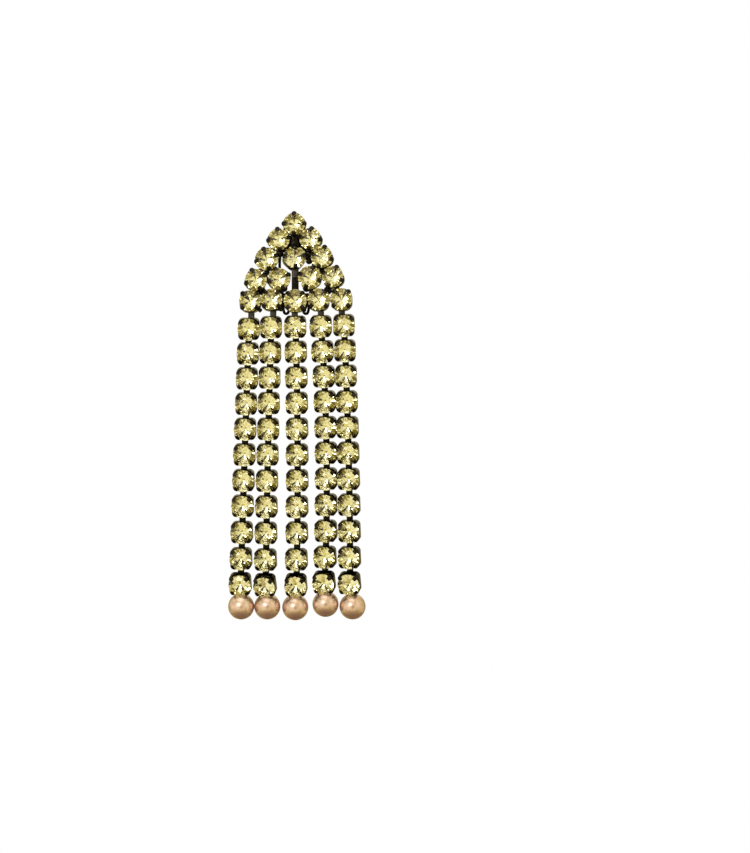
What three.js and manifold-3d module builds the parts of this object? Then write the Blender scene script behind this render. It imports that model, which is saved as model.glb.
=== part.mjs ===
import * as THREE from 'three';
import { mergeVertices } from 'three/addons/utils/BufferGeometryUtils.js';
import Module from 'manifold-3d';

// Chandelier earring: a pointed arch of claw-set crystals with five cup-chain strands, each ending
// in a pearl. Millimetres, +Z up, the stones facing -Y. The origin is where the clip grips the lobe.

const wasm = await Module();
wasm.setup();

// Driving dimensions
const lobeGap = 4.8;
const fitGap = 0.28;
const cup = { half: 2.43, floor: 0.45, wall: 0.4, rim: 2.0, backR: 2.62 };
const clawSize = { r: 2.98, width: 1.0, base: 0.4, height: 3.15, tipR: 1.95, tipDepth: 3.85, thick: 0.35 };
const stone = { r: 2.45, girdleLow: 2.6, girdleHigh: 2.82, tableR: 1.42, table: 3.5, culet: 0.8 };
const strandStone = { r: 2.5, girdle: 2.55, shoulder: 2.75, tableR: 1.45, table: 3.45 };
const strandClaw = { shoulder: 2.2, tipR: 2.15, tipDepth: 3.55 };
const strandTilt = 5;
const lastTilt = 16;
const link = { width: 1.4, thick: 0.4, depth: 0.95, inside: 1.9 };
const tab = { width: 1.5, headWidth: 2.5, headTop: 1.0, headBottom: 1.5 };
const solder = { width: 1.3, low: 0.3, high: 1.7, reach: 5.8, inside: 2.15 };
const star = { backR: 0.85, frontR: 0.68, low: 0.2, high: 2.3 };
const bar = { width: 1.7, low: 1.1, high: 1.6 };
const hinge = { half: 2.6, thick: 2.0, bottom: -11.9, top: -8.9, holeX: 1.7, holeTop: -9.4 };
const pearl = { r: 3.0, sides: 14, rows: 8, behind: 2.55, holeDepth: 2.1 };
const peg = { r: 0.4, sides: 6, top: 1.4, intoPearl: 1.8 };
const wire = { r: 0.27, sides: 6, endZ: -9.8, footR: 0.6, footZ: -12.6, archR: 4.0, archZ: -0.4, steps: 50 };

const backY = -lobeGap / 2;
const clipY = lobeGap / 2 + wire.r;
const pearlY = backY - (stone.girdleLow + stone.girdleHigh) / 2 + pearl.behind;
const girdleDepth = (stone.girdleLow + stone.girdleHigh) / 2;

// Cups of the arch: the middle of each stone, and the cup's turn from square, anticlockwise.
const archCups = [
  { name: 'r1_1', x: -0.14, z: 7.89, turn: 45 },
  { name: 'r2_1', x: -3.89, z: 4.31, turn: -38 },
  { name: 'r2_2', x: 3.77, z: 4.41, turn: 38 },
  { name: 'r3_1', x: -6.64, z: -0.33, turn: -29 },
  { name: 'r3_2', x: 0.05, z: 0.12, turn: 45 },
  { name: 'r3_3', x: 6.41, z: -0.31, turn: 29 },
  { name: 'r4_1', x: -9.14, z: -4.97, turn: -22 },
  { name: 'r4_2', x: -3.7, z: -4.97, turn: -24 },
  { name: 'r4_3', x: 3.49, z: -4.81, turn: 26 },
  { name: 'r4_4', x: 8.93, z: -4.59, turn: 22 },
  { name: 'r5_1', x: -10.55, z: -9.8, turn: 0 },
  { name: 'r5_2', x: -5.44, z: -9.8, turn: 0 },
  { name: 'r5_3', x: 0.09, z: -10.13, turn: 0 },
  { name: 'r5_4', x: 5.61, z: -9.8, turn: 0 },
  { name: 'r5_5', x: 10.91, z: -9.75, turn: 0 },
];

// Solder that fills the places where the claws of three or four cups meet.
const solderStars = [
  { x: -0.09, z: 4.48 },
  { x: -3.53, z: 1.06 },
  { x: 3.3, z: 0.94 },
  { x: -2.59, z: -7.19 },
  { x: 2.71, z: -7.19 },
  { x: -7.54, z: -7.42 },
  { x: 7.42, z: -7.42 },
];

// The clip's leg between its foot and the round end, on the right-hand side.
const clipLeg = [
  { x: 3.2, y: -1.0, z: -11.7 },
  { x: 3.3, y: 0.8, z: -10.2 },
  { x: 3.3, y: 2.5, z: -8.4 },
  { x: 3.5, y: 3.2, z: -5.5 },
];

// Strands: the stone's middle and the cup's turn about the vertical, at the first, sixth and last
// cup, and the middle of the pearl. Each hangs from the cup of the bottom row that hook names.
const cupsPerStrand = 11;
const strands = [
  { hook: 'r5_1', x: [-10.86, -11.94, -13.0], z: [-16.96, -46.53, -76.99], yaw: [2, 3, 5] },
  { hook: 'r5_2', x: [-5.65, -6.48, -7.23], z: [-16.63, -46.53, -77.18], yaw: [3, 1, 8] },
  { hook: 'r5_3', x: [0.02, 0.4, 0.09], z: [-16.47, -46.53, -76.99], yaw: [2, 4, 5] },
  { hook: 'r5_4', x: [6.01, 7.19, 6.6], z: [-16.33, -46.13, -76.62], yaw: [3, 3, 9] },
  { hook: 'r5_5', x: [11.54, 12.39, 12.58], z: [-16.16, -46.13, -76.81], yaw: [-4, 1, 8] },
];

// The middle of each strand's pearl.
const pearls = [
  { x: -12.68, z: -82.08 },
  { x: -6.53, z: -82.08 },
  { x: 0.07, z: -82.27 },
  { x: 7.19, z: -81.49 },
  { x: 13.55, z: -82.08 },
];

// A closed geometry as a solid that can be joined and cut.
function solidOf(geometry) {
  const loose = geometry.index ? geometry.toNonIndexed() : geometry.clone();
  loose.deleteAttribute('normal');
  loose.deleteAttribute('uv');
  const merged = mergeVertices(loose, 1e-4);
  const mesh = new wasm.Mesh({
    numProp: 3,
    vertProperties: merged.attributes.position.array,
    triVerts: new Uint32Array(merged.index.array),
  });
  return new wasm.Manifold(mesh);
}

function geometryOf(solid) {
  const mesh = solid.getMesh();
  const geometry = new THREE.BufferGeometry();
  geometry.setAttribute('position', new THREE.BufferAttribute(new Float32Array(mesh.vertProperties), 3));
  geometry.setIndex(new THREE.BufferAttribute(new Uint32Array(mesh.triVerts), 1));
  const flat = geometry.toNonIndexed();
  flat.computeVertexNormals();
  return flat;
}

function joined(solids) {
  return solids.reduce((whole, piece) => whole.add(piece));
}

// A ring of points round the middle of a cup. Each entry is an angle, a radius and a depth forward
// of the cup's back.
function ringOf(entries) {
  return entries.map(([angle, r, depth]) => {
    const a = THREE.MathUtils.degToRad(angle);
    return { angle, point: [r * Math.cos(a), r * Math.sin(a), depth] };
  });
}

// A ring with the square's fourfold shape, from its values at the middle of a side, at the shoulder
// beside a claw and at the claw. A value left out leaves those points out.
const shoulderAngle = 29;
function squareRing({ side, shoulder, claw }) {
  const entries = [];
  for (let quarter = 0; quarter < 360; quarter += 90) {
    if (side) entries.push([quarter, ...side]);
    if (shoulder) entries.push([quarter + shoulderAngle, ...shoulder]);
    if (claw) entries.push([quarter + 45, ...claw]);
    if (shoulder) entries.push([quarter + 90 - shoulderAngle, ...shoulder]);
  }
  return ringOf(entries);
}

function roundRing(sides, r, depth, startAngle = 0) {
  const entries = [];
  for (let i = 0; i < sides; i += 1) entries.push([startAngle + (360 * i) / sides, r, depth]);
  return ringOf(entries);
}

// A closed skin through rings of any number of points, from back to front. Two neighbouring rings
// are joined by always stepping along the one whose next point comes first.
function skin(rings) {
  const points = [];
  const starts = rings.map((ring) => {
    const start = points.length;
    ring.forEach((entry) => points.push(entry.point));
    return start;
  });
  const faces = [];
  for (let k = 0; k + 1 < rings.length; k += 1) {
    const [low, high] = [rings[k], rings[k + 1]];
    const nextAngle = (ring, i) => (i + 1 < ring.length ? ring[i + 1].angle : ring[0].angle + 360);
    const at = (ring, start, i) => start + (i % ring.length);
    let i = 0;
    let j = 0;
    while (i < low.length || j < high.length) {
      const lowNext = i < low.length ? nextAngle(low, i) : Infinity;
      const highNext = j < high.length ? nextAngle(high, j) : Infinity;
      const a = at(low, starts[k], i);
      const b = at(high, starts[k + 1], j);
      if (lowNext <= highNext) {
        if (low.length > 1) faces.push(a, at(low, starts[k], i + 1), b);
        i += 1;
      } else {
        if (high.length > 1) faces.push(a, at(high, starts[k + 1], j + 1), b);
        j += 1;
      }
    }
  }
  const last = rings.length - 1;
  for (let i = 1; i + 1 < rings[0].length; i += 1) faces.push(0, i + 1, i);
  for (let i = 1; i + 1 < rings[last].length; i += 1) {
    faces.push(starts[last], starts[last] + i, starts[last] + i + 1);
  }
  const geometry = new THREE.BufferGeometry();
  geometry.setAttribute('position', new THREE.Float32BufferAttribute(points.flat(), 3));
  geometry.setIndex(faces);
  return geometry.toNonIndexed();
}

function box(width, height, low, high) {
  const geometry = new THREE.BoxGeometry(width, height, high - low);
  geometry.translate(0, 0, (low + high) / 2);
  return geometry;
}

// Sets a geometry, drawn face up with its depth along Z, on the earring: turned in its own plane,
// tilted and yawed about the point at pivot depth, and put at x, z.
function place(geometry, { x, z, turn = 0, tilt = 0, yaw = 0, pivot = 0, y = backY }) {
  const toRad = THREE.MathUtils.degToRad;
  geometry.rotateZ(toRad(turn));
  geometry.translate(0, 0, -pivot);
  geometry.rotateX(Math.PI / 2 + toRad(tilt));
  geometry.rotateZ(toRad(-yaw));
  geometry.translate(x, y - pivot, z);
  return geometry;
}

// A flat strap between two points of the earring, at a depth forward of the back.
function strap(from, to, width, low, high) {
  const length = Math.hypot(to.x - from.x, to.z - from.z);
  const turn = THREE.MathUtils.radToDeg(Math.atan2(from.x - to.x, to.z - from.z));
  const middle = { x: (from.x + to.x) / 2, z: (from.z + to.z) / 2 };
  return place(box(width, length, low, high), { ...middle, turn });
}

// A point on the way from one point to another, at a distance from the first.
function along(from, to, distance) {
  const part = distance / Math.hypot(to.x - from.x, to.z - from.z);
  return { x: from.x + (to.x - from.x) * part, z: from.z + (to.z - from.z) * part };
}

// The value at part 0 to 1 of the curve through three values at 0, a half and 1.
function through([first, middle, last], part) {
  const rise = 4 * middle - 3 * first - last;
  const bend = 2 * (first + last - 2 * middle);
  return first + rise * part + bend * part * part;
}

// The cut stone: pointed pavilion, sixteen-sided girdle, crown facets and an eight-sided table.
function cutStone() {
  return skin([
    roundRing(1, 0, stone.culet),
    roundRing(16, stone.r, stone.girdleLow),
    roundRing(16, stone.r, stone.girdleHigh),
    roundRing(8, stone.tableR, stone.table),
  ]);
}

// The open cup of an arch stone: out over the back, up the walls, and down the square inside.
function openCup() {
  const toCorner = 1 / Math.cos(THREE.MathUtils.degToRad(shoulderAngle));
  const outerR = cup.half * toCorner;
  const innerR = (cup.half - cup.wall) * toCorner;
  return skin([
    squareRing({ shoulder: [cup.backR, 0] }),
    squareRing({ shoulder: [outerR, cup.rim] }),
    squareRing({ shoulder: [innerR, cup.rim] }),
    squareRing({ shoulder: [innerR, cup.floor] }),
  ]);
}

// A claw, which rises from a corner of the cup and folds in over the stone's crown.
function claw(quarter) {
  const insideR = stone.r + fitGap;
  const outline = new THREE.Shape([
    new THREE.Vector2(cup.half, cup.rim - clawSize.base),
    new THREE.Vector2(clawSize.r, cup.rim),
    new THREE.Vector2(clawSize.r, clawSize.height),
    new THREE.Vector2(clawSize.tipR, clawSize.tipDepth),
    new THREE.Vector2(clawSize.tipR, clawSize.tipDepth - clawSize.thick),
    new THREE.Vector2(insideR, stone.girdleHigh + fitGap / 2),
    new THREE.Vector2(insideR, stone.girdleLow - fitGap / 2),
  ]);
  const geometry = new THREE.ExtrudeGeometry(outline, { depth: clawSize.width, bevelEnabled: false });
  geometry.translate(0, 0, -clawSize.width / 2);
  geometry.rotateX(Math.PI / 2);
  geometry.rotateZ(THREE.MathUtils.degToRad(45 + 90 * quarter));
  return geometry;
}

// A cup of a strand with its stone: walls, claws folded over the stone, crown and table in one.
function strandCup() {
  const shoulderR = cup.half / Math.cos(THREE.MathUtils.degToRad(shoulderAngle));
  return skin([
    squareRing({ shoulder: [cup.backR, 0] }),
    squareRing({
      side: [cup.half, cup.rim],
      shoulder: [shoulderR, strandClaw.shoulder],
      claw: [clawSize.r, clawSize.height],
    }),
    squareRing({
      side: [strandStone.r, strandStone.girdle],
      shoulder: [strandStone.r, strandStone.shoulder],
      claw: [strandClaw.tipR, strandClaw.tipDepth],
    }),
    roundRing(8, strandStone.tableR, strandStone.table),
  ]);
}

// The strip at the top of a strand, from inside the cup that it hangs from down to its own first
// cup. With a gap it is the slot that the strip passes through.
function tabStrip(hook, first, gap = 0) {
  const low = link.depth - link.thick / 2 - gap;
  const high = link.depth + link.thick / 2 + gap;
  const top = along(hook, first, tab.headTop);
  const foot = along(first, hook, link.inside);
  return strap(top, foot, tab.width + 2 * gap, low, high);
}

// The wide head of that strip, which can't pass back through the slot.
function tabHead(hook, first) {
  const low = link.depth - link.thick / 2;
  const ends = [along(hook, first, tab.headTop), along(hook, first, tab.headBottom)];
  return strap(...ends, tab.headWidth, low, low + link.thick);
}

function cupPlaces(strand) {
  const places = [];
  for (let i = 0; i < cupsPerStrand; i += 1) {
    const part = i / (cupsPerStrand - 1);
    places.push({
      x: through(strand.x, part),
      z: through(strand.z, part),
      yaw: through(strand.yaw, part),
      tilt: i === cupsPerStrand - 1 ? lastTilt : strandTilt,
      pivot: girdleDepth,
    });
  }
  return places;
}

function hookOf(strand) {
  return archCups.find((entry) => entry.name === strand.hook);
}

// The soldered arch: cups, solder, the flat bar under the middle cup and the hinge block behind.
function pavilionFrame() {
  const metal = archCups.map((entry) => solidOf(place(openCup(), entry)));
  archCups.forEach((entry) => {
    [0, 1, 2, 3].forEach((quarter) => metal.push(solidOf(place(claw(quarter), entry))));
  });
  const wallToWall = (a, b) => [along(a, b, solder.inside), along(b, a, solder.inside)];
  archCups.forEach((a, i) => {
    archCups.slice(i + 1).forEach((b) => {
      if (Math.hypot(a.x - b.x, a.z - b.z) > solder.reach) return;
      metal.push(solidOf(strap(...wallToWall(a, b), solder.width, solder.low, solder.high)));
    });
  });
  solderStars.forEach((spot) => {
    const blob = skin([roundRing(6, star.backR, star.low), roundRing(6, star.frontR, star.high)]);
    metal.push(solidOf(place(blob, spot)));
  });
  const middleCup = archCups.find((entry) => entry.name === 'r3_2');
  const lowestCup = archCups.find((entry) => entry.name === 'r5_3');
  metal.push(solidOf(strap(...wallToWall(middleCup, lowestCup), bar.width, bar.low, bar.high)));
  const hingeMiddle = { x: 0, z: (hinge.bottom + hinge.top) / 2 };
  const hingeBlock = box(2 * hinge.half, hinge.top - hinge.bottom, -hinge.thick, 0.1);
  metal.push(solidOf(place(hingeBlock, hingeMiddle)));

  const cuts = strands.map((strand) => solidOf(tabStrip(hookOf(strand), cupPlaces(strand)[0], fitGap)));
  [-1, 1].forEach((side) => {
    const deep = hinge.holeTop - hinge.bottom + 1;
    const hole = new THREE.CylinderGeometry(wire.r + fitGap, wire.r + fitGap, deep, 8);
    hole.rotateX(Math.PI / 2);
    hole.translate(side * hinge.holeX, backY + hinge.thick / 2, hinge.holeTop - deep / 2);
    cuts.push(solidOf(hole));
  });
  return geometryOf(joined(metal).subtract(joined(cuts)));
}

// One strand: cups with their stones, the links between them, the tab above and the peg below.
function strandChain(strand, drop) {
  const places = cupPlaces(strand);
  const pieces = places.map((where) => solidOf(place(strandCup(), where)));
  for (let i = 0; i + 1 < places.length; i += 1) {
    const from = along(places[i], places[i + 1], link.inside);
    const to = along(places[i + 1], places[i], link.inside);
    const low = link.depth - link.thick / 2;
    pieces.push(solidOf(strap(from, to, link.width, low, low + link.thick)));
  }
  pieces.push(solidOf(tabStrip(hookOf(strand), places[0])));
  pieces.push(solidOf(tabHead(hookOf(strand), places[0])));
  const last = places[places.length - 1];
  const length = last.z - peg.top - (drop.z + pearl.r - peg.intoPearl);
  const pin = new THREE.CylinderGeometry(peg.r, peg.r, length, peg.sides);
  pin.rotateX(Math.PI / 2);
  pin.translate(drop.x, pearlY, last.z - peg.top - length / 2);
  pieces.push(solidOf(pin));
  return geometryOf(joined(pieces));
}

// A pearl with the blind hole that takes the peg.
function drilledPearl(drop) {
  const ball = new THREE.SphereGeometry(pearl.r, pearl.sides, pearl.rows);
  ball.rotateX(Math.PI / 2);
  const hole = new THREE.CylinderGeometry(peg.r + fitGap, peg.r + fitGap, 2 * pearl.holeDepth, 8);
  hole.rotateX(Math.PI / 2);
  hole.translate(0, 0, pearl.r);
  const geometry = geometryOf(solidOf(ball).subtract(solidOf(hole)));
  geometry.translate(drop.x, pearlY, drop.z);
  return geometry;
}

// The clip: each end goes down out of the hinge block, turns up in a small foot, runs back under
// the lobe and rises into the round arch that presses on the lobe from behind.
function clipWire() {
  const footY = backY + hinge.thick / 2;
  const footX = hinge.holeX + wire.footR;
  const half = [new THREE.Vector3(hinge.holeX, footY, wire.endZ)];
  half.push(new THREE.Vector3(hinge.holeX, footY, wire.footZ + 1));
  for (let angle = 180; angle <= 360; angle += 45) {
    const a = THREE.MathUtils.degToRad(angle);
    const x = footX + wire.footR * Math.cos(a);
    half.push(new THREE.Vector3(x, footY, wire.footZ + wire.footR * Math.sin(a)));
  }
  clipLeg.forEach((p) => half.push(new THREE.Vector3(p.x, p.y, p.z)));
  for (let angle = 0; angle < 90; angle += 30) {
    const a = THREE.MathUtils.degToRad(angle);
    half.push(new THREE.Vector3(wire.archR * Math.cos(a), clipY, wire.archZ + wire.archR * Math.sin(a)));
  }
  const top = new THREE.Vector3(0, clipY, wire.archZ + wire.archR);
  const mirrored = half.map((p) => new THREE.Vector3(-p.x, p.y, p.z)).reverse();
  const path = new THREE.CatmullRomCurve3([...half, top, ...mirrored], false, 'centripetal');
  const section = new THREE.Shape();
  for (let i = 0; i < wire.sides; i += 1) {
    const a = (2 * Math.PI * i) / wire.sides;
    const [u, v] = [wire.r * Math.cos(a), wire.r * Math.sin(a)];
    if (i === 0) section.moveTo(u, v);
    else section.lineTo(u, v);
  }
  section.closePath();
  return new THREE.ExtrudeGeometry(section, { steps: wire.steps, extrudePath: path });
}

const gunmetal = { color: 0x2b2926, roughness: 0.35, metalness: 0.9 };
const crystal = { color: 0xd9cd78, roughness: 0.08, metalness: 0.1 };
const nacre = { color: 0xc79f78, roughness: 0.25, metalness: 0.2 };

const earring = new THREE.Group();

function addPiece(name, geometry, finish) {
  const mesh = new THREE.Mesh(geometry, new THREE.MeshStandardMaterial(finish));
  mesh.name = name;
  earring.add(mesh);
}

addPiece('pavilion_frame', pavilionFrame(), gunmetal);
archCups.forEach((entry) => {
  addPiece(`crystal_${entry.name}`, place(cutStone(), entry), crystal);
});
strands.forEach((strand, i) => {
  addPiece(`strand_${i + 1}`, strandChain(strand, pearls[i]), gunmetal);
  addPiece(`pearl_${i + 1}`, drilledPearl(pearls[i]), nacre);
});
addPiece('ear_clip', clipWire(), gunmetal);

export default earring;
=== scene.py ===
import math
import random

import bmesh
import bpy
from mathutils import Matrix, Vector


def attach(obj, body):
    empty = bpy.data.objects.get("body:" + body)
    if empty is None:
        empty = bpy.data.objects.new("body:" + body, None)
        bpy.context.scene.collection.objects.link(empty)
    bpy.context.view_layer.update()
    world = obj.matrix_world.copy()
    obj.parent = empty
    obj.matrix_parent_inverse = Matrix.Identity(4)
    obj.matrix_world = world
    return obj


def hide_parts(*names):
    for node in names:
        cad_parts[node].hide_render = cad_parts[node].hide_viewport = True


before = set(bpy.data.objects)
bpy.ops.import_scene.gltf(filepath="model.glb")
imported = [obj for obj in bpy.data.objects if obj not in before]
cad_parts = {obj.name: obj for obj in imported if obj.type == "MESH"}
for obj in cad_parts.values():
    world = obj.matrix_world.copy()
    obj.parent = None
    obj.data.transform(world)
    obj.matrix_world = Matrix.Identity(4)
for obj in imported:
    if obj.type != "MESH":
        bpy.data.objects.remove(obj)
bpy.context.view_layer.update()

# Chandelier earring: claw-set crystal arch, five cup-chain strands, bronze pearls, wire clip.
# Every piece is modelled in millimetres, its depth along Z, and brought to metres when placed.
random.seed(24)
mm = 0.001
backY = -2.4  # back of the cups
girdleDepth = 2.71  # a stone's girdle, forward of the cup's back

# Arch cups: middle of the stone, the cup's turn from square, how far it leans back and aside, and
# the stone's size against the master
archPlaces = [
    {"name": "r1_1", "x": -0.14, "z": 7.92, "turn": 45, "tilt": -4, "yaw": 2, "stone": 0.975},
    {"name": "r2_1", "x": -3.78, "z": 4.26, "turn": -38, "tilt": -5, "yaw": 0, "stone": 0.975},
    {"name": "r2_2", "x": 3.66, "z": 4.4, "turn": 38, "tilt": -6, "yaw": 4, "stone": 0.98},
    {"name": "r3_1", "x": -6.64, "z": -0.33, "turn": -29, "tilt": -6, "yaw": 2, "stone": 1.03},
    {"name": "r3_2", "x": 0.05, "z": 0.12, "turn": 45, "tilt": -15, "yaw": -9, "stone": 1.02},
    {"name": "r3_3", "x": 6.36, "z": 0.13, "turn": 29, "tilt": -9, "yaw": 2, "stone": 0.97},
    {"name": "r4_1", "x": -9.14, "z": -5.2, "turn": -22, "tilt": -7, "yaw": -1, "stone": 0.97},
    {"name": "r4_2", "x": -3.7, "z": -4.97, "turn": -24, "tilt": -7, "yaw": -1, "stone": 0.975},
    {"name": "r4_3", "x": 3.49, "z": -4.7, "turn": 26, "tilt": -8, "yaw": 2, "stone": 1.05},
    {"name": "r4_4", "x": 8.9, "z": -4.5, "turn": 22, "tilt": -8, "yaw": 4, "stone": 0.965},
    {"name": "r5_1", "x": -10.53, "z": -10.15, "turn": 0, "tilt": -9, "yaw": 3, "stone": 0.97},
    {"name": "r5_2", "x": -5.44, "z": -9.8, "turn": 0, "tilt": -9, "yaw": 1, "stone": 0.965},
    {"name": "r5_3", "x": 0.09, "z": -10.13, "turn": 0, "tilt": -8, "yaw": 2, "stone": 1.03},
    {"name": "r5_4", "x": 5.61, "z": -9.8, "turn": 0, "tilt": -10, "yaw": 1, "stone": 1.0},
    {"name": "r5_5", "x": 10.91, "z": -9.75, "turn": 0, "tilt": -9, "yaw": 4, "stone": 1.0},
]

# Strands: x, z and yaw of the first, sixth and last cup, the tab's middle, and how far the strand
# hangs behind its neighbours
strandShapes = [
    {
        "hook": "r5_1",
        "x": (-10.86, -11.94, -13.0),
        "z": (-16.96, -46.53, -77.15),
        "lastTilt": 21,
        "yaw": (2, 4, 8),
        "tabX": -10.25,
        "behind": 0.3,
    },
    {
        "hook": "r5_2",
        "x": (-5.65, -6.48, -7.23),
        "z": (-16.63, -46.53, -77.55),
        "lastTilt": 27,
        "yaw": (3, 4, 12),
        "tabX": -5.1,
        "behind": 0,
    },
    {
        "hook": "r5_3",
        "x": (0.02, 0.4, 0.09),
        "z": (-16.47, -46.53, -77.4),
        "lastTilt": 25,
        "yaw": (4, 8, 9),
        "tabX": -0.03,
        "behind": 0,
    },
    {
        "hook": "r5_4",
        "x": (6.01, 7.19, 6.6),
        "z": (-16.33, -46.13, -76.85),
        "lastTilt": 23,
        "yaw": (5, 9, 14),
        "tabX": 6.12,
        "behind": 0.3,
    },
    {
        "hook": "r5_5",
        "x": (11.54, 12.39, 12.58),
        "z": (-16.16, -46.13, -76.95),
        "lastTilt": 21,
        "yaw": (0, 8, 14),
        "tabX": 11.05,
        "behind": 0,
    },
]
pearlPlaces = [
    {"x": -12.68, "z": -82.08},
    {"x": -6.53, "z": -82.08},
    {"x": 0.07, "z": -82.27},
    {"x": 7.19, "z": -81.49},
    {"x": 13.55, "z": -82.08},
]


# Modelling helpers: parts are picked by a rule, then Blender's own operators shape them
def deselectAll():
    if bpy.context.object and bpy.context.object.mode != "OBJECT":
        bpy.ops.object.mode_set(mode="OBJECT")
    bpy.ops.object.select_all(action="DESELECT")


def makeActive(piece):
    deselectAll()
    piece.select_set(True)
    bpy.context.view_layer.objects.active = piece


def startEdit(piece):
    makeActive(piece)
    bpy.ops.object.mode_set(mode="EDIT")
    bpy.ops.mesh.select_mode(type="VERT")
    bpy.ops.mesh.select_all(action="DESELECT")


def stopEdit():
    bpy.ops.object.mode_set(mode="OBJECT")


def middleOf(part):
    if isinstance(part, bmesh.types.BMVert):
        return part.co
    if isinstance(part, bmesh.types.BMEdge):
        return (part.verts[0].co + part.verts[1].co) / 2
    return part.calc_center_median()


def pick(piece, kind, rule):  # kind is verts, edges or faces
    bpy.ops.mesh.select_mode(type={"verts": "VERT", "edges": "EDGE", "faces": "FACE"}[kind])
    bpy.ops.mesh.select_all(action="DESELECT")
    grid = bmesh.from_edit_mesh(piece.data)
    for part in getattr(grid, kind):
        if rule(part, middleOf(part)):
            part.select_set(True)
    grid.select_flush_mode()
    bmesh.update_edit_mesh(piece.data)


def extrudeBy(x, y, z):
    bpy.ops.mesh.extrude_region_move(TRANSFORM_OT_translate={"value": (x, y, z)})


def mergeDoubles(gap=0.002):
    bpy.ops.mesh.select_all(action="SELECT")
    bpy.ops.mesh.remove_doubles(threshold=gap)


def facesOut():
    bpy.ops.mesh.select_all(action="SELECT")
    bpy.ops.mesh.normals_make_consistent(inside=False)


def addModifier(piece, kind, **settings):
    makeActive(piece)
    modifier = piece.modifiers.new(kind.title(), kind)
    for name, value in settings.items():
        setattr(modifier, name, value)
    bpy.ops.object.modifier_apply(modifier=modifier.name)


def smoothBy(piece, degrees):
    makeActive(piece)
    bpy.ops.object.shade_smooth_by_angle(angle=math.radians(degrees))


def settle(piece):  # the object's place goes into its mesh
    makeActive(piece)
    bpy.ops.object.transform_apply(location=True, rotation=True, scale=True)


def copyTo(master, where, name="copy"):
    piece = master.copy()
    piece.data = master.data.copy()
    piece.name = name
    bpy.context.collection.objects.link(piece)
    piece.data.transform(where)
    return piece


def joinAll(pieces, name):
    deselectAll()
    for piece in pieces:
        piece.select_set(True)
    bpy.context.view_layer.objects.active = pieces[0]
    if len(pieces) > 1:
        bpy.ops.object.join()
    pieces[0].name = name
    pieces[0].data.name = name
    return pieces[0]


def setOn(x, z, turn=0, tilt=0, yaw=0, pivot=0, behind=0):  # face up in mm, to its place in metres
    where = Matrix.Scale(mm, 4) @ Matrix.Translation(Vector((x, backY - pivot + behind, z)))
    where = where @ Matrix.Rotation(math.radians(-yaw), 4, "Z")
    where = where @ Matrix.Rotation(math.radians(90 + tilt), 4, "X")
    where = where @ Matrix.Translation(Vector((0, 0, -pivot)))
    return where @ Matrix.Rotation(math.radians(turn), 4, "Z")


def setCup(place):  # a cup turns about the middle of its stone's girdle
    turn, behind = place.get("turn", 0), place.get("behind", 0)
    return setOn(place["x"], place["z"], turn, place["tilt"], place["yaw"], girdleDepth, behind)


def along(start, end, distance):
    part = distance / math.hypot(end["x"] - start["x"], end["z"] - start["z"])
    return {key: start[key] + (end[key] - start[key]) * part for key in ("x", "z")}


def between(start, end, low, high, width=1):  # a unit strap stretched from one point to another
    length = math.hypot(end["x"] - start["x"], end["z"] - start["z"])
    turn = math.degrees(math.atan2(start["x"] - end["x"], end["z"] - start["z"]))
    middle = {key: (start[key] + end[key]) / 2 for key in ("x", "z")}
    size = Matrix.Diagonal(Vector((width, length, high - low, 1)))
    lift = Matrix.Translation(Vector((0, 0, (low + high) / 2)))
    return setOn(middle["x"], middle["z"], turn) @ lift @ size


def through(values, part):  # the curve through three values, at 0, a half and 1
    first, middle, last = values
    return first + (4 * middle - 3 * first - last) * part + 2 * (first + last - 2 * middle) * part**2


# Material helpers
def colour(code):  # sRGB hex to linear
    channels = [int(code[i : i + 2], 16) / 255 for i in (1, 3, 5)]
    return [c / 12.92 if c <= 0.04045 else ((c + 0.055) / 1.055) ** 2.4 for c in channels] + [1.0]


def addNode(tree, kind, settings=None, links=None):
    node = tree.nodes.new(kind)
    for name, value in (settings or {}).items():
        if name in node.inputs:
            node.inputs[name].default_value = value
        else:
            setattr(node, name, value)
    for name, source in (links or {}).items():
        tree.links.new(source, node.inputs[name])
    return node


def newMaterial(name):
    material = bpy.data.materials.new(name)
    material.use_nodes = True
    material.node_tree.nodes.clear()
    return material, material.node_tree


def finishMaterial(tree, shader):
    output = addNode(tree, "ShaderNodeOutputMaterial")
    tree.links.new(shader.outputs[0], output.inputs["Surface"])


def addRamp(tree, source, stops):  # stops are (place, hex colour or grey)
    ramp = addNode(tree, "ShaderNodeValToRGB", links={"Fac": source})
    band = ramp.color_ramp
    while len(band.elements) < len(stops):
        band.elements.new(1.0)
    for element, (place, tone) in zip(band.elements, stops):
        element.position = place
        element.color = colour(tone) if isinstance(tone, str) else (tone, tone, tone, 1.0)
    return ramp.outputs["Color"]


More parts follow.
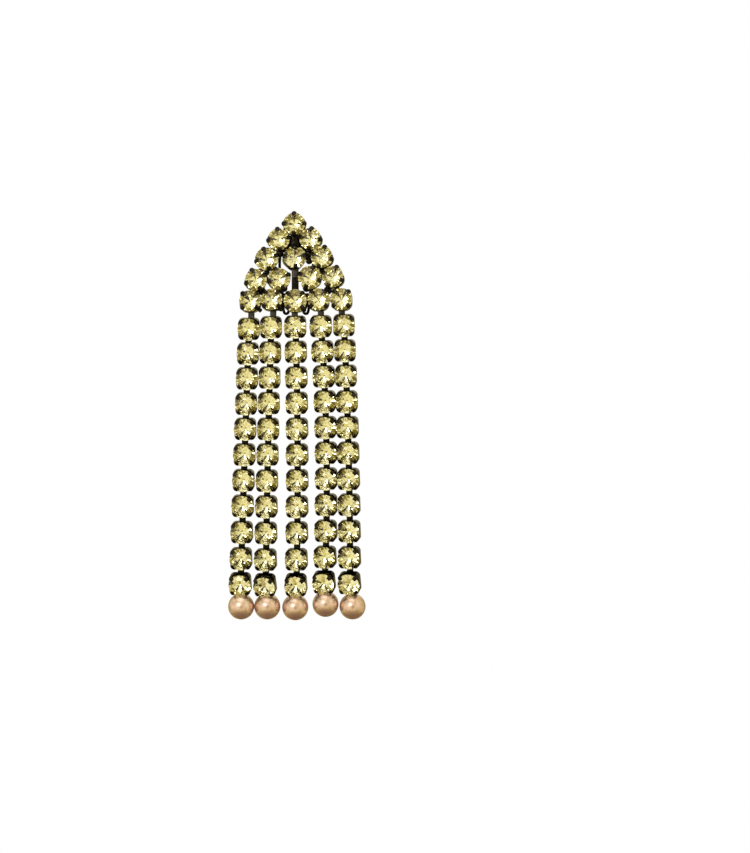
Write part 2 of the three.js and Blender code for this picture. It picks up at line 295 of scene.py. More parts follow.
# Black ruthenium plate over cast brass, barrel polished: near black, soft warm-grey highlights,
# slightly clouded, with a trace of grain left by the polishing. Grain steps are in millimetres.
def makeBlackPlate(name, tones, gloss, grainStep, stretch=(1.0, 1.0, 1.0), relief=0.35):
    material, tree = newMaterial(name)
    place = addNode(tree, "ShaderNodeTexCoord").outputs["Object"]
    cloud = addNode(tree, "ShaderNodeTexNoise", {"Scale": 1 / (1.1 * mm), "Detail": 3.0}, {"Vector": place})
    tone = addRamp(tree, cloud.outputs["Fac"], [(0.32, tones[0]), (0.68, tones[1])])
    grainPlace = addNode(tree, "ShaderNodeMapping", {"Scale": stretch}, {"Vector": place})
    grain = addNode(
        tree,
        "ShaderNodeTexNoise",
        {"Scale": 1 / (grainStep * mm), "Detail": 2.0},
        {"Vector": grainPlace.outputs[0]},
    )
    roughness = addRamp(tree, grain.outputs["Fac"], [(0.25, gloss[0]), (0.8, gloss[1])])
    bump = addNode(
        tree,
        "ShaderNodeBump",
        {"Strength": relief, "Distance": 0.02 * mm},
        {"Height": grain.outputs["Fac"]},
    )
    shader = addNode(
        tree,
        "ShaderNodeBsdfPrincipled",
        {"Metallic": 1.0},
        {"Base Color": tone, "Roughness": roughness, "Normal": bump.outputs[0]},
    )
    finishMaterial(tree, shader)
    return material


# Lead crystal, machine cut and polished, jonquil yellow: clear, with a tint that differs a little
# from stone to stone
def makeCrystal():
    material, tree = newMaterial("Jonquil_Crystal")
    place = addNode(tree, "ShaderNodeTexCoord").outputs["Object"]
    drift = addNode(tree, "ShaderNodeTexNoise", {"Scale": 1 / (9 * mm), "Detail": 1.0}, {"Vector": place})
    tint = addRamp(tree, drift.outputs["Fac"], [(0.38, "#fcfbe9"), (0.62, "#fcfcf3")])
    shader = addNode(
        tree,
        "ShaderNodeBsdfPrincipled",
        {"IOR": 1.55, "Transmission Weight": 1.0, "Roughness": 0.01},
        {"Base Color": tint},
    )
    finishMaterial(tree, shader)
    return material


# Silver foil, vacuum deposited behind the pavilion: mirror bright, seen through the yellow glass
def makeFoil():
    material, tree = newMaterial("Silver_Foil")
    place = addNode(tree, "ShaderNodeTexCoord").outputs["Object"]
    drift = addNode(tree, "ShaderNodeTexNoise", {"Scale": 1 / (1.1 * mm), "Detail": 2.0}, {"Vector": place})
    tint = addRamp(tree, drift.outputs["Fac"], [(0.3, "#f9f6dc"), (0.7, "#fbf9ea")])
    shader = addNode(
        tree,
        "ShaderNodeBsdfPrincipled",
        {"Metallic": 1.0, "Roughness": 0.03},
        {"Base Color": tint},
    )
    finishMaterial(tree, shader)
    return material


# Bronze crystal pearl, dip-lacquered in many thin coats: satin metallic glow under a clear gloss
def makePearlLacquer():
    material, tree = newMaterial("Bronze_Pearl_Lacquer")
    place = addNode(tree, "ShaderNodeTexCoord").outputs["Object"]
    cloud = addNode(tree, "ShaderNodeTexNoise", {"Scale": 1 / (3 * mm), "Detail": 2.0}, {"Vector": place})
    tone = addRamp(tree, cloud.outputs["Fac"], [(0.3, "#e4c1ab"), (0.7, "#ecceba")])
    skin = addNode(tree, "ShaderNodeTexNoise", {"Scale": 1 / (0.5 * mm), "Detail": 2.0}, {"Vector": place})
    bump = addNode(
        tree,
        "ShaderNodeBump",
        {"Strength": 0.1, "Distance": 0.02 * mm},
        {"Height": skin.outputs["Fac"]},
    )
    shader = addNode(
        tree,
        "ShaderNodeBsdfPrincipled",
        {
            "Metallic": 0.85,
            "Roughness": 0.3,
            "Specular Tint": colour("#7d4f33"),  # the lacquer turns browner towards the rim
            "Coat Weight": 1.0,
            "Coat Roughness": 0.2,
        },
        {"Base Color": tone, "Normal": bump.outputs[0]},
    )
    finishMaterial(tree, shader)
    return material


cupPlate = makeBlackPlate("Black_Ruthenium_Plate", ("#1e1b16", "#3b362d"), (0.14, 0.3), 0.35)
# A darker copy of the cup plate for links, bar, solder, pegs, hinge block and clip: partly the blacker
# solder and links, partly painted shade where these parts sit between, under and behind the cups
solderAndShadePlate = makeBlackPlate("Dark_Ruthenium_Plate", ("#191713", "#2b2822"), (0.25, 0.42), 0.4)
brushedPlate = makeBlackPlate(
    "Brushed_Ruthenium_Plate",
    ("#35322b", "#57534a"),
    (0.3, 0.55),
    0.6,
    stretch=(6.0, 1.0, 0.35),
    relief=0.7,
)
crystalGlass = makeCrystal()
silverFoil = makeFoil()
pearlLacquer = makePearlLacquer()
print("materials ready")

# Cup, pressed from sheet: a quarter of the wall is drawn, its claw folded in, then spun into four
cupSize = {
    "half": 2.5,
    "sheet": 0.36,
    "wallRises": (0.6, 0.75),  # rings of the wall, below the last one at the rim
    "floorRound": 0.3,
    "sideRim": 2.05,
    "edgeRound": 0.11,
    "clawCrown": [(0.2, 0.03), (0.5, 0.09)],  # a claw's sides lie further in than its middle
}
# The wall's top rises towards the corner: within this distance of it, by this much. A claw is a
# fold of the wall: radius and depth of its outer face, and its width against the last step.
archCupSize = {
    "cornerR": 1.9,
    "clawHalf": 0.58,
    "rim": [(2.2, 0.02), (1.7, 0.05), (1.25, 0.08), (1.0, 0.1)],
    "fold": [
        (2.94, 2.5, 1.08),
        (3.0, 2.74, 1.0),
        (3.0, 2.98, 1.0),
        (2.93, 3.18, 1.0),
        (2.78, 3.34, 0.98),
        (2.55, 3.46, 0.97),
        (2.3, 3.56, 0.93),
        (2.12, 3.62, 0.84),
        (2.0, 3.65, 0.6),
    ],
}
chainCupSize = {
    "cornerR": 1.15,
    "clawHalf": 0.72,
    "rim": [(2.2, 0.04), (1.7, 0.1), (1.25, 0.16), (1.0, 0.2), (0.8, 0.2)],
    "fold": [
        (3.02, 2.92, 1.0),
        (2.94, 3.12, 0.97),
        (2.78, 3.27, 0.96),
        (2.55, 3.38, 0.93),
        (2.34, 3.47, 0.86),
        (2.18, 3.52, 0.6),
    ],
}


def makeCup(name, shape):
    half, cornerR = cupSize["half"], shape["cornerR"]
    middle = half - cornerR
    deselectAll()
    bpy.ops.mesh.primitive_circle_add(vertices=48, radius=cornerR, location=(middle, middle, 0))
    piece = bpy.context.object
    piece.name = name
    settle(piece)
    startEdit(piece)
    pick(piece, "verts", lambda v, p: p.x < middle - 0.01 or p.y < middle - 0.01)
    bpy.ops.mesh.delete(type="VERT")
    for endX, endY, stepX, stepY in ((half, middle, 0, -middle / 3), (middle, half, -middle / 3, 0)):
        pick(piece, "verts", lambda v, p: abs(p.x - endX) < 0.01 and abs(p.y - endY) < 0.01)
        for step in range(3):
            extrudeBy(stepX, stepY, 0)
    pick(piece, "edges", lambda e, p: True)
    lowRises = cupSize["wallRises"]
    for rise in lowRises + (cupSize["sideRim"] - sum(lowRises),):
        extrudeBy(0, 0, rise)
    top = cupSize["sideRim"] - 0.01
    for reach, rise in shape["rim"]:
        pick(piece, "verts", lambda v, p: p.z > top and abs(p.x - p.y) < reach)
        bpy.ops.transform.translate(value=(0, 0, rise))
    pick(piece, "edges", lambda e, p: p.z > top and e.is_boundary and abs(p.x - p.y) < shape["clawHalf"])
    atR = cornerR + middle * math.sqrt(2)
    atDepth = clawBase = cupSize["sideRim"] + sum(rise for reach, rise in shape["rim"])
    for r, depth, narrow in shape["fold"]:
        inward = (r - atR) / math.sqrt(2)
        extrudeBy(inward, inward, depth - atDepth)
        if narrow != 1.0:
            tip = (r / math.sqrt(2), r / math.sqrt(2), depth)
            bpy.ops.transform.resize(value=(narrow, narrow, 1), center_override=tip)
        atR, atDepth = r, depth
    for reach, back in cupSize["clawCrown"]:
        pick(piece, "verts", lambda v, p: p.z > clawBase + 0.1 and abs(p.x - p.y) > reach)
        bpy.ops.transform.translate(value=(-back, -back, 0))
    bpy.ops.mesh.select_all(action="SELECT")
    bpy.ops.mesh.spin(steps=4, dupli=True, angle=2 * math.pi, center=(0, 0, 0), axis=(0, 0, 1))
    mergeDoubles()
    pick(piece, "edges", lambda e, p: p.z < 0.001 and e.is_boundary)
    bpy.ops.mesh.edge_face_add()
    pick(piece, "edges", lambda e, p: p.z < 0.001)
    bpy.ops.mesh.bevel(offset=cupSize["floorRound"], segments=3, affect="EDGES")
    facesOut()
    stopEdit()
    addModifier(piece, "SOLIDIFY", thickness=cupSize["sheet"], offset=-1.0, use_even_offset=True)
    addModifier(
        piece,
        "BEVEL",
        width=cupSize["edgeRound"],
        segments=3,
        limit_method="ANGLE",
        angle_limit=math.radians(45),
    )
    smoothBy(piece, 38)
    piece.data.materials.append(cupPlate)
    return piece


# Stone: rings of points on the planes of a brilliant cut, closed into flat facets
stoneSize = {
    "girdleR": 2.64,
    "girdleLow": 2.62,
    "girdleHigh": 2.78,
    "tableR": 1.42,
    "table": 3.48,
    "starR": 1.98,
    "culetDepth": 0.55,
    "culetR": 0.04,
    "pavilionR": 0.62,
    "lean": 1.6,  # the most that a stone leans in its claws, in degrees
}


def makeStone(name, girdleR):
    eighth = math.radians(22.5)
    size = stoneSize
    crownSlope = (size["table"] - size["girdleHigh"]) / (girdleR - size["tableR"])
    backSlope = (size["girdleLow"] - size["culetDepth"]) / girdleR
    starDepth = size["table"] - (size["starR"] * math.cos(eighth) - size["tableR"]) * crownSlope
    pavilionDepth = size["culetDepth"] + size["pavilionR"] * math.cos(eighth) * backSlope
    rings = [
        (8, size["tableR"], size["table"], 0),
        (8, size["starR"], starDepth, eighth),
        (16, girdleR, size["girdleHigh"], 0),
        (16, girdleR, size["girdleLow"], 0),
        (8, size["pavilionR"], pavilionDepth, eighth),
        (8, size["culetR"], size["culetDepth"], 0),
    ]
    circles = []
    for count, radius, depth, start in rings:
        deselectAll()
        bpy.ops.mesh.primitive_circle_add(
            vertices=count,
            radius=radius,
            location=(0, 0, depth),
            rotation=(0, 0, start),
        )
        circles.append(bpy.context.object)
        settle(circles[-1])
    piece = joinAll(circles, name)
    startEdit(piece)
    bpy.ops.mesh.select_all(action="SELECT")
    bpy.ops.mesh.convex_hull(join_triangles=False)
    bpy.ops.mesh.select_all(action="SELECT")
    bpy.ops.mesh.dissolve_limited(angle_limit=math.radians(0.6))
    facesOut()
    stopEdit()
    piece.data.materials.append(crystalGlass)
    piece.data.materials.append(silverFoil)
    for face in piece.data.polygons:
        face.material_index = 1 if face.center.z < size["girdleLow"] - 0.05 else 0
        face.use_smooth = False
    return piece


def stoneAt(master, where, size=1):  # each stone sits a little differently in its claws
    spin = Matrix.Rotation(random.uniform(0, math.pi / 4), 4, "Z")
    lean = Matrix.Rotation(math.radians(random.uniform(0, stoneSize["lean"])), 4, "X")
    swing = Matrix.Rotation(random.uniform(0, 2 * math.pi), 4, "Z")
    lift = Matrix.Translation(Vector((0, 0, girdleDepth)))
    drop = Matrix.Translation(Vector((0, 0, -girdleDepth)))
    return copyTo(master, where @ lift @ swing @ lean @ spin @ Matrix.Scale(size, 4) @ drop, "stone")


# Flat strap, a millimetre long until it is placed, with a slight waist and rolled edges
strapCuts = (-0.3, 0.0, 0.3)


def makeStrap(name, width, waist, edge, finish):
    deselectAll()
    bpy.ops.mesh.primitive_cube_add(size=1)
    piece = bpy.context.object
    piece.name = name
    startEdit(piece)
    bpy.ops.mesh.select_all(action="SELECT")
    bpy.ops.transform.resize(value=(width, 1, 1))
    for cutY in strapCuts:
        bpy.ops.mesh.select_all(action="SELECT")
        bpy.ops.mesh.bisect(plane_co=(0, cutY, 0), plane_no=(0, 1, 0))
    pick(piece, "verts", lambda v, p: abs(p.y) < strapCuts[-1] + 0.05)
    bpy.ops.transform.resize(value=(waist, 1, 1))
    pick(piece, "edges", lambda e, p: onRim(e))
    bpy.ops.mesh.bevel(offset=edge, segments=3, affect="EDGES")
    facesOut()
    stopEdit()
    smoothBy(piece, 50)
    piece.data.materials.append(finish)
    return piece


def onRim(edge):  # the four long edges of a strap
    sides = {abs(round(face.normal.x, 2)) > 0.5 for face in edge.link_faces}
    flats = {abs(round(face.normal.z, 2)) > 0.5 for face in edge.link_faces}
    return sides == {True, False} and flats == {True, False}


archCup = makeCup("arch_cup", archCupSize)
chainCup = makeCup("chain_cup", chainCupSize)
stoneMaster = makeStone("stone_master", stoneSize["girdleR"])
print("cup has", len(archCup.data.polygons), "faces, stone", len(stoneMaster.data.polygons))

# Soldered arch: cups, solder between their walls, the flat bar and the hinge block behind
frameSize = {
    "solderWidth": 1.4,
    "solderLow": 0.3,
    "solderHigh": 1.7,
    "solderReach": 5.8,
    "inside": 2.15,
    "starR": 0.85,
    "starLow": 0.2,
    "starHigh": 2.45,
    "starSteps": ((0.12, 0.12), (0.18, 0.11), (0.22, 0.08), (0.18, 0.04)),  # inset, then lift
    "barWidth": 1.7,
    "barLow": 1.1,
    "barHigh": 1.6,
    "barWaist": 0.97,
    "barEdge": 0.12,
    "lugEnd": 4.75,
    "lugHigh": 2.05,
    "lugNarrow": 0.96,
}
wideSolder = {
    "r1_1 r2_1": 2.4,
    "r1_1 r2_2": 2.4,
    "r2_1 r3_2": 2.6,
    "r2_2 r3_2": 2.6,
    "r5_2 r5_3": 3.8,
    "r5_3 r5_4": 3.8,
}
solderRuns = [
    {"from": (-9.4, -11.4), "to": (-7.8, -12.65), "width": 1.15, "low": 0.7, "high": 3.3},
    {"from": (-4.7, -12.0), "to": (-2.8, -12.25), "width": 0.95, "low": 0.5, "high": 2.6},
]
solderStars = [
    {"x": -0.09, "z": 4.48, "spread": 1.45},
    {"x": 0.0, "z": 3.2, "spread": 1.5},
    {"x": -3.53, "z": 1.06, "spread": 1.08},
    {"x": 3.3, "z": 0.94, "spread": 1.1},
    {"x": 3.3, "z": -0.75, "spread": 0.9},
    {"x": -2.59, "z": -7.19, "spread": 1.0},
    {"x": 2.71, "z": -7.19, "spread": 1.0},
    {"x": -7.8, "z": -7.8, "spread": 1.15},
    {"x": 7.75, "z": -7.7, "spread": 1.15},
    {"x": -6.6, "z": -3.45, "spread": 0.8},
    {"x": 6.35, "z": -3.2, "spread": 0.8},
    {"x": -3.3, "z": -11.9, "spread": 0.85},
    {"x": 2.1, "z": -12.2, "spread": 0.7},
]
hingeSize = {
    "x": 0.22,
    "half": 2.65,
    "thick": 2.0,
    "bottom": -11.9,
    "top": -8.9,
    "holeX": 1.78,
    "holeR": 0.5,
    "holeTop": -9.6,
    "sink": 0.05,  # how deep the block sits in the cups' backs
    "edge": 0.22,
}
beadSize = {"corner": 0.93, "waist": 0.86, "middle": 0.9}  # against a plain cube


def makeSolderBead():  # pillow of metal, one millimetre a side until it is placed
    deselectAll()
    bpy.ops.mesh.primitive_cube_add(size=1)
    piece = bpy.context.object
    startEdit(piece)
    bpy.ops.mesh.select_all(action="SELECT")
    bpy.ops.mesh.subdivide(number_cuts=2)
    pick(piece, "verts", lambda v, p: sum(abs(c) > 0.49 for c in p) > 1)
    bpy.ops.transform.resize(value=(beadSize["corner"],) * 3)
    pick(piece, "verts", lambda v, p: abs(p.y) < 0.2)
    bpy.ops.transform.resize(value=(beadSize["waist"], 1, beadSize["middle"]))
    stopEdit()
    addModifier(piece, "SUBSURF", levels=2, render_levels=2)
    smoothBy(piece, 60)
    piece.data.materials.append(solderAndShadePlate)
    return piece


def makeSolderStar():  # low dome where three or four claws meet
    deselectAll()
    bpy.ops.mesh.primitive_cylinder_add(vertices=24, radius=frameSize["starR"], depth=1)
    piece = bpy.context.object
    startEdit(piece)
    low, high = frameSize["starLow"], frameSize["starHigh"]
    dome = sum(lift for inset, lift in frameSize["starSteps"])
    bpy.ops.mesh.select_all(action="SELECT")
    bpy.ops.transform.translate(value=(0, 0, 0.5))
    bpy.ops.transform.resize(value=(1, 1, high - low - dome), center_override=(0, 0, 0))
    bpy.ops.transform.translate(value=(0, 0, low))
    pick(piece, "faces", lambda f, p: f.normal.z > 0.9)
    for inset, lift in frameSize["starSteps"]:
        bpy.ops.mesh.inset(thickness=inset, depth=0)
        bpy.ops.transform.translate(value=(0, 0, lift))
    facesOut()
    stopEdit()
    smoothBy(piece, 60)
    piece.data.materials.append(solderAndShadePlate)
    return piece


def makeHingeBlock():
    size = hingeSize
    deselectAll()
    middleY, middleZ = backY + size["thick"] / 2, (size["bottom"] + size["top"]) / 2
    bpy.ops.mesh.primitive_cube_add(size=1, location=(size["x"], middleY - size["sink"], middleZ))
    piece = bpy.context.object
    piece.scale = (2 * size["half"], size["thick"] + 2 * size["sink"], size["top"] - size["bottom"])
    settle(piece)
    for side in (-1, 1):
        deep = size["holeTop"] - size["bottom"] + 1
        deselectAll()
        bpy.ops.mesh.primitive_cylinder_add(
            vertices=24,
            radius=size["holeR"],
            depth=deep,
            location=(size["x"] + side * size["holeX"], middleY, size["holeTop"] - deep / 2),
        )
        drill = bpy.context.object
        settle(drill)
        addModifier(piece, "BOOLEAN", operation="DIFFERENCE", object=drill, solver="EXACT")
        bpy.data.objects.remove(drill)
    addModifier(
        piece,
        "BEVEL",
        width=size["edge"],
        segments=3,
        limit_method="ANGLE",
        angle_limit=math.radians(60),
    )
    smoothBy(piece, 40)
    piece.data.transform(Matrix.Scale(mm, 4))
    piece.data.materials.append(solderAndShadePlate)
    return piece


barLook = (frameSize["barWidth"], frameSize["barWaist"], frameSize["barEdge"])
barMaster = makeStrap("bar", *barLook, solderAndShadePlate)
lugMaster = makeStrap("lug", *barLook, brushedPlate)
solderBead = makeSolderBead()
solderStar = makeSolderStar()
byName = {place["name"]: place for place in archPlaces}
metalParts = []
for place in archPlaces:
    metalParts.append(copyTo(archCup, setCup(place)))
for i, first in enumerate(archPlaces):
    for second in archPlaces[i + 1 :]:
        if math.hypot(first["x"] - second["x"], first["z"] - second["z"]) > frameSize["solderReach"]:
            continue
        start, end = along(first, second, frameSize["inside"]), along(second, first, frameSize["inside"])
        low, high = frameSize["solderLow"], frameSize["solderHigh"]
        width = wideSolder.get(first["name"] + " " + second["name"], frameSize["solderWidth"])
        metalParts.append(copyTo(solderBead, between(start, end, low, high, width)))
for run in solderRuns:
    start, end = ({"x": x, "z": z} for x, z in (run["from"], run["to"]))
    metalParts.append(copyTo(solderBead, between(start, end, run["low"], run["high"], run["width"])))
for place in solderStars:
    spread = Matrix.Diagonal(Vector((place["spread"], place["spread"], 1, 1)))
    metalParts.append(copyTo(solderStar, setOn(place["x"], place["z"], random.uniform(0, 60)) @ spread))
barStart = along(byName["r3_2"], byName["r5_3"], frameSize["inside"])
barEnd = along(byName["r5_3"], byName["r3_2"], frameSize["inside"])
low, high = frameSize["barLow"], frameSize["barHigh"]
metalParts.append(copyTo(barMaster, between(barStart, barEnd, low, high)))
lugEnd = along(byName["r3_2"], byName["r5_3"], frameSize["lugEnd"])
lugPlace = between(barStart, lugEnd, low, frameSize["lugHigh"], frameSize["lugNarrow"])
metalParts.append(copyTo(lugMaster, lugPlace))
metalParts.append(makeHingeBlock())
archMetal = joinAll(metalParts, "arch_metal")
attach(archMetal, "root")
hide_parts("pavilion_frame")
for place in archPlaces:
    gem = stoneAt(stoneMaster, setCup(place), place["stone"])
    gem.name = gem.data.name = "stone_" + place["name"]
    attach(gem, "root")
    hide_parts("crystal_" + place["name"])
print("arch made of", len(archPlaces), "cups")

# Strands: cups joined by flat links, a brushed tab above and a peg into the pearl below
linkSize = {"width": 1.62, "thick": 0.4, "depth": 0.95, "inside": 1.9, "waist": 0.94, "edge": 0.1}
tabSize = {"width": 1.5, "headWidth": 2.5, "headTop": 1.0, "headBottom": 1.5, "edge": 0.09}
pearlSize = {
    "r": 3.08,
    "behind": 2.55,
    "holeR": 0.62,
    "mouth": 0.12,
    "mouthNarrow": 0.9,
    "holeDepth": 1.8,
    "pegR": 0.4,
    "pegEdge": 0.1,
    "pegTop": 1.4,
    "intoPearl": 1.8,
}
pearlY = backY - girdleDepth + pearlSize["behind"]
strandTilt, cupCount = 12, 11
lastBehind = 0.25  # the last cup leans more, so it hangs a little further back
cupPlay = 0.05  # how far a cup may sit above or below its even place

linkMaster = makeStrap("link", linkSize["width"], linkSize["waist"], linkSize["edge"], solderAndShadePlate)
tabMaster = makeStrap("tab", tabSize["width"], 1.0, tabSize["edge"], brushedPlate)


def cupPlaces(shape):
    places = []
    for i in range(cupCount):
        part, isLast = i / (cupCount - 1), i == cupCount - 1
        places.append({
            "x": through(shape["x"], part),
            "z": through(shape["z"], part) + random.uniform(-cupPlay, cupPlay),
            "yaw": through(shape["yaw"], part),
            "tilt": shape["lastTilt"] if isLast else strandTilt,
            "behind": shape["behind"] + (lastBehind if isLast else 0),
        })
    return places


def floorOf(place):  # a cup leans about its stone, so its floor lies a little aside and above
    back = girdleDepth - linkSize["depth"]
    aside, above = math.sin(math.radians(place["yaw"])), math.sin(math.radians(place["tilt"]))
    return {"x": place["x"] + back * aside, "z": place["z"] + back * above}


def makePeg(x, top, bottom):
    deselectAll()
    bpy.ops.mesh.primitive_cylinder_add(
        vertices=20,
        radius=pearlSize["pegR"],
        depth=top - bottom,
        location=(x, pearlY, (top + bottom) / 2),
    )
    piece = bpy.context.object
    settle(piece)
    startEdit(piece)
    pick(piece, "edges", lambda e, p: abs(p.z - bottom) < 0.01)
    bpy.ops.mesh.bevel(offset=pearlSize["pegEdge"], segments=2, affect="EDGES")
    stopEdit()
    smoothBy(piece, 40)
    piece.data.transform(Matrix.Scale(mm, 4))
    piece.data.materials.append(solderAndShadePlate)
    return piece


for number, shape in enumerate(strandShapes, start=1):
    places = cupPlaces(shape)
    pearlPlace = pearlPlaces[number - 1]
    low = linkSize["depth"] - linkSize["thick"] / 2
    high = linkSize["depth"] + linkSize["thick"] / 2
    metalParts = [copyTo(chainCup, setCup(place)) for place in places]
    for upper, lower in zip(places, places[1:]):
        upper, lower = floorOf(upper), floorOf(lower)
        start, end = along(upper, lower, linkSize["inside"]), along(lower, upper, linkSize["inside"])
        metalParts.append(copyTo(linkMaster, between(start, end, low, high)))
    hook = byName[shape["hook"]]
    tabTop = {"x": shape["tabX"], "z": hook["z"] - tabSize["headTop"]}
    headEnd = {"x": shape["tabX"], "z": hook["z"] - tabSize["headBottom"]}
    tabFoot = {"x": shape["tabX"], "z": places[0]["z"] + linkSize["inside"]}
    metalParts.append(copyTo(tabMaster, between(tabTop, tabFoot, low, high)))
    headWide = tabSize["headWidth"] / tabSize["width"]
    metalParts.append(copyTo(tabMaster, between(tabTop, headEnd, low, high, headWide)))
    pegBottom = pearlPlace["z"] + pearlSize["r"] - pearlSize["intoPearl"]
    metalParts.append(makePeg(pearlPlace["x"], places[-1]["z"] - pearlSize["pegTop"], pegBottom))
    strandMetal = joinAll(metalParts, "strand_metal_" + str(number))
    strandStones = joinAll(
        [stoneAt(stoneMaster, setCup(place)) for place in places],
        "strand_stones_" + str(number),
    )
    for piece, slotName in ((strandMetal, "cup_chain"), (strandStones, "crystal")):
        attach(piece, "root")
        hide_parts("strand_" + str(number))
print("five strands of", cupCount, "cups")


# Pearl: a ball with a drilled hole that the peg goes into
def makePearl():
    deselectAll()
    bpy.ops.mesh.primitive_uv_sphere_add(segments=64, ring_count=48, radius=pearlSize["r"])
    piece = bpy.context.object
    startEdit(piece)
    holeR = pearlSize["holeR"]
    pick(piece, "faces", lambda f, p: p.z > 0 and max(v.co.xy.length for v in f.verts) < holeR)
    narrow = pearlSize["mouthNarrow"]
    extrudeBy(0, 0, -pearlSize["mouth"])
    bpy.ops.transform.resize(value=(narrow, narrow, 1))
    extrudeBy(0, 0, -pearlSize["holeDepth"])
    facesOut()
    stopEdit()
    smoothBy(piece, 50)
    piece.data.materials.append(pearlLacquer)
    return piece


pearlMaster = makePearl()
for number, place in enumerate(pearlPlaces, start=1):
    where = Matrix.Scale(mm, 4) @ Matrix.Translation(Vector((place["x"], pearlY, place["z"])))
    piece = copyTo(pearlMaster, where @ Matrix.Rotation(random.uniform(0, 6), 4, "Z"))
    piece.name = piece.data.name = "bronze_pearl_" + str(number)
    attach(piece, "root")
    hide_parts("pearl_" + str(number))
print("five pearls")

# Clip: one bent wire, out of the hinge block, forward foot, under the lobe and up into a round arch
wireSize = {
    "r": 0.34,
    "endZ": -9.8,
    "footR": 0.54,
    "footZ": -12.55,
    "archR": 3.95,
    "archY": 2.67,
    "archZ": -0.4,
}
clipLeg = [(3.05, -1.0, -11.6), (3.2, 0.8, -10.2), (3.3, 2.5, -8.4), (3.5, 3.15, -5.5)]


def clipPath():
    size = wireSize
    footY = backY + hingeSize["thick"] / 2
    half = [(hingeSize["holeX"], footY, size["endZ"]), (hingeSize["holeX"], footY, size["footZ"] + 1)]
    for angle in range(180, 361, 45):
        turn = math.radians(angle)
        x = hingeSize["holeX"] + size["footR"] * (1 + math.cos(turn))
        half.append((x, footY, size["footZ"] + size["footR"] * math.sin(turn)))
    half += clipLeg
    for angle in (0, 30, 60):
        turn = math.radians(angle)
        x, z = size["archR"] * math.cos(turn), size["archZ"] + size["archR"] * math.sin(turn)
        half.append((x, size["archY"], z))
    top = [(0, size["archY"], size["archZ"] + size["archR"])]
    whole = half + top + [(-x, y, z) for x, y, z in reversed(half)]
    return [(x + hingeSize["x"], y, z) for x, y, z in whole]


def makeClip():
    route = bpy.data.curves.new("clip_route", "CURVE")
    route.dimensions = "3D"
    spline = route.splines.new("BEZIER")
    points = clipPath()
    spline.bezier_points.add(len(points) - 1)
    for knot, point in zip(spline.bezier_points, points):
        knot.co = point
        knot.handle_left_type = knot.handle_right_type = "AUTO"
    spline.resolution_u = 10
    route.bevel_depth = wireSize["r"]
    route.bevel_resolution = 4
    route.use_fill_caps = True
    piece = bpy.data.objects.new("clip_wire", route)
    bpy.context.collection.objects.link(piece)
    makeActive(piece)
    bpy.ops.object.convert(target="MESH")
    piece = bpy.context.object
    startEdit(piece)
    mergeDoubles(0.001)
    facesOut()
    stopEdit()
    smoothBy(piece, 60)
    piece.data.transform(Matrix.Scale(mm, 4))
    piece.data.materials.append(solderAndShadePlate)
    return piece


clipWire = makeClip()
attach(clipWire, "root")
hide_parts("ear_clip")
masters = [archCup, chainCup, stoneMaster, barMaster, lugMaster, solderBead, solderStar]
for master in masters + [linkMaster, tabMaster, pearlMaster]:
    bpy.data.objects.remove(master)
print("clip wire bent")

# Floor: a pale disc under the hanging earring, in metres
floorSize = {"r": 0.24, "thick": 0.004, "z": -0.19}
deselectAll()
bpy.ops.mesh.primitive_cylinder_add(
    vertices=128,
    radius=floorSize["r"],
    depth=floorSize["thick"],
    location=(0, 0, floorSize["z"]),
)
floor = bpy.context.object
floor.name = "floor"
settle(floor)
smoothBy(floor, 40)
floorPaint, tree = newMaterial("Pale_Studio_Floor")
finishMaterial(tree, addNode(
    tree,
    "ShaderNodeBsdfPrincipled",
    {"Base Color": colour("#f1f0ee"), "Roughness": 0.8},
))
floor.data.materials.append(floorPaint)
floor.visible_glossy = floor.visible_transmission = False  # kept out of the pearls and stones

# Camera: level, straight on, the earring left of the middle as in the photograph, in metres
cameraSize = {"away": 0.8, "x": 0.01885, "z": -0.0397, "tall": 0.201, "sensor": 36}
camera = bpy.data.objects.new("camera", bpy.data.cameras.new("camera"))
camera.data.sensor_width = cameraSize["sensor"]
camera.data.lens = cameraSize["sensor"] * cameraSize["away"] / cameraSize["tall"]
camera.data.clip_start, camera.data.clip_end = 0.01, 20
camera.location = (cameraSize["x"], backY * mm - cameraSize["away"], cameraSize["z"])
camera.rotation_euler = (math.radians(90), 0, 0)
bpy.context.collection.objects.link(camera)
bpy.context.scene.camera = camera
print("camera set")

# Light: soft boxes in front, above and behind, places in metres, and a pale room round them
litPoint = (0, 0, -0.035)
lightBoxes = [
    {"name": "key", "place": (-0.3, -0.85, 0.2), "size": 0.22, "power": 1.5},
    {"name": "fill", "place": (0.8, -0.6, 0.25), "size": 0.45, "power": 0.3},
    {"name": "top", "place": (-0.05, -0.35, 0.8), "size": 0.6, "power": 1.0},
    {"name": "back", "place": (0.35, 0.75, 0.5), "size": 0.5, "power": 0.4},
]
for box in lightBoxes:
    lamp = bpy.data.lights.new(box["name"], "AREA")
    lamp.size, lamp.energy = box["size"], box["power"]
    holder = bpy.data.objects.new(box["name"], lamp)
    holder.location = box["place"]
    aim = Vector(litPoint) - holder.location
    holder.rotation_euler = aim.to_track_quat("-Z", "Y").to_euler()
    bpy.context.collection.objects.link(holder)

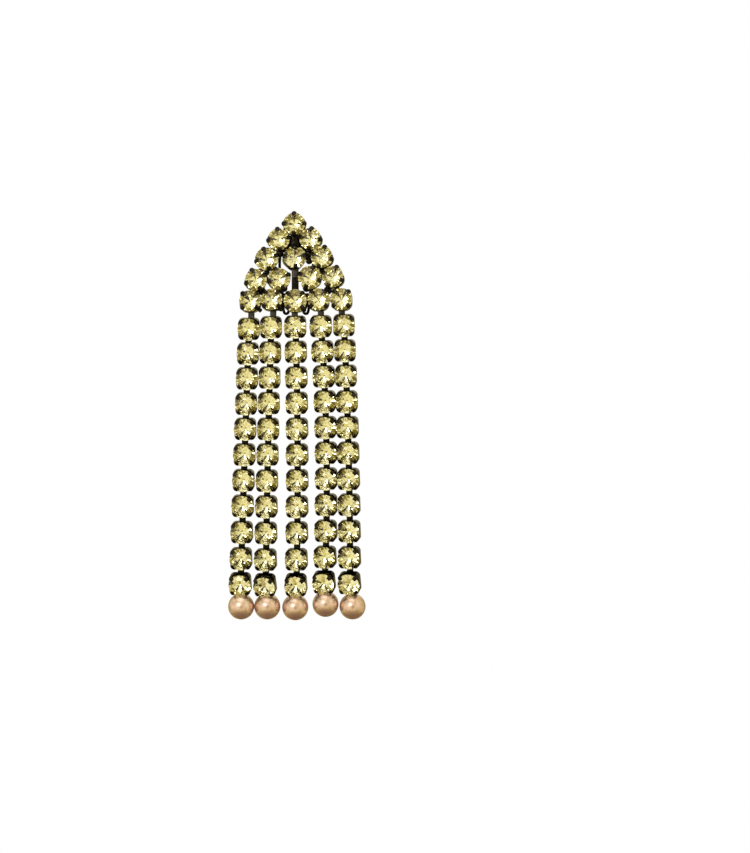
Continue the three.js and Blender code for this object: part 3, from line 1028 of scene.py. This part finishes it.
# The room's tone by direction: brown from below, a little dimmer behind and on the right, dark where
# the camera stands, and with dim patches that give the facets their contrast
roomLight = {
    "strength": 1.15,
    "lensFrom": 0.95,
    "lensTo": 0.985,
    "lens": [(0.0, "#6e6229"), (0.5, "#c2b878"), (1.0, "#ffffff")],
    "patch": 4.0,
    "patches": [(0.38, "#8d823f"), (0.45, "#fdfaec")],
}
roomShades = {
    "Z": [(0.0, "#6b4426"), (0.08, "#7b6038"), (0.18, "#b8a870"), (0.3, "#f2edd2"), (0.45, "#ffffff")],
    "Y": [(0.0, "#ffffff"), (0.5, "#f5f2e2"), (0.75, "#d3ccaa")],
    "X": [(0.45, "#ffffff"), (0.78, "#f0ecd8")],
}
world = bpy.data.worlds.new("studio")
bpy.context.scene.world = world
world.use_nodes = True
tree = world.node_tree
tree.nodes.clear()
way = addNode(tree, "ShaderNodeTexCoord").outputs["Generated"]
axes = addNode(tree, "ShaderNodeSeparateXYZ", links={"Vector": way})
factors = []
for axis, stops in roomShades.items():
    span = {"From Min": -1.0, "From Max": 1.0}
    part = addNode(tree, "ShaderNodeMapRange", span, {"Value": axes.outputs[axis]})
    factors.append(addRamp(tree, part.outputs[0], stops))
lens = addNode(
    tree,
    "ShaderNodeMapRange",
    {"From Min": -roomLight["lensTo"], "From Max": -roomLight["lensFrom"]},
    {"Value": axes.outputs["Y"]},
)
factors.append(addRamp(tree, lens.outputs[0], roomLight["lens"]))
patch = {"Scale": roomLight["patch"], "Detail": 1.0}
cloud = addNode(tree, "ShaderNodeTexNoise", patch, {"Vector": way})
factors.append(addRamp(tree, cloud.outputs["Fac"], roomLight["patches"]))
shade = factors[0]
for factor in factors[1:]:
    product = addNode(tree, "ShaderNodeVectorMath", {"operation": "MULTIPLY"})
    tree.links.new(shade, product.inputs[0])
    tree.links.new(factor, product.inputs[1])
    shade = product.outputs[0]
seen = addNode(tree, "ShaderNodeLightPath")
studio = addNode(tree, "ShaderNodeBackground", {"Strength": roomLight["strength"]}, {"Color": shade})
paper = addNode(tree, "ShaderNodeBackground", {"Color": (1, 1, 1, 1), "Strength": 1.0})
direct = addNode(tree, "ShaderNodeMath", {"operation": "ADD", "use_clamp": True})  # these see white
tree.links.new(seen.outputs["Is Camera Ray"], direct.inputs[0])
tree.links.new(seen.outputs["Is Diffuse Ray"], direct.inputs[1])
mixed = addNode(tree, "ShaderNodeMixShader", links={"Fac": direct.outputs[0]})
tree.links.new(studio.outputs[0], mixed.inputs[1])
tree.links.new(paper.outputs[0], mixed.inputs[2])
worldOut = addNode(tree, "ShaderNodeOutputWorld")
tree.links.new(mixed.outputs[0], worldOut.inputs["Surface"])
bpy.context.scene.view_settings.view_transform = "Standard"
paths = bpy.context.scene.cycles  # light bounces many times between a stone's foil and its facets
paths.max_bounces, paths.glossy_bounces, paths.transmission_bounces = 20, 16, 16
print("studio lit")

deselectAll()
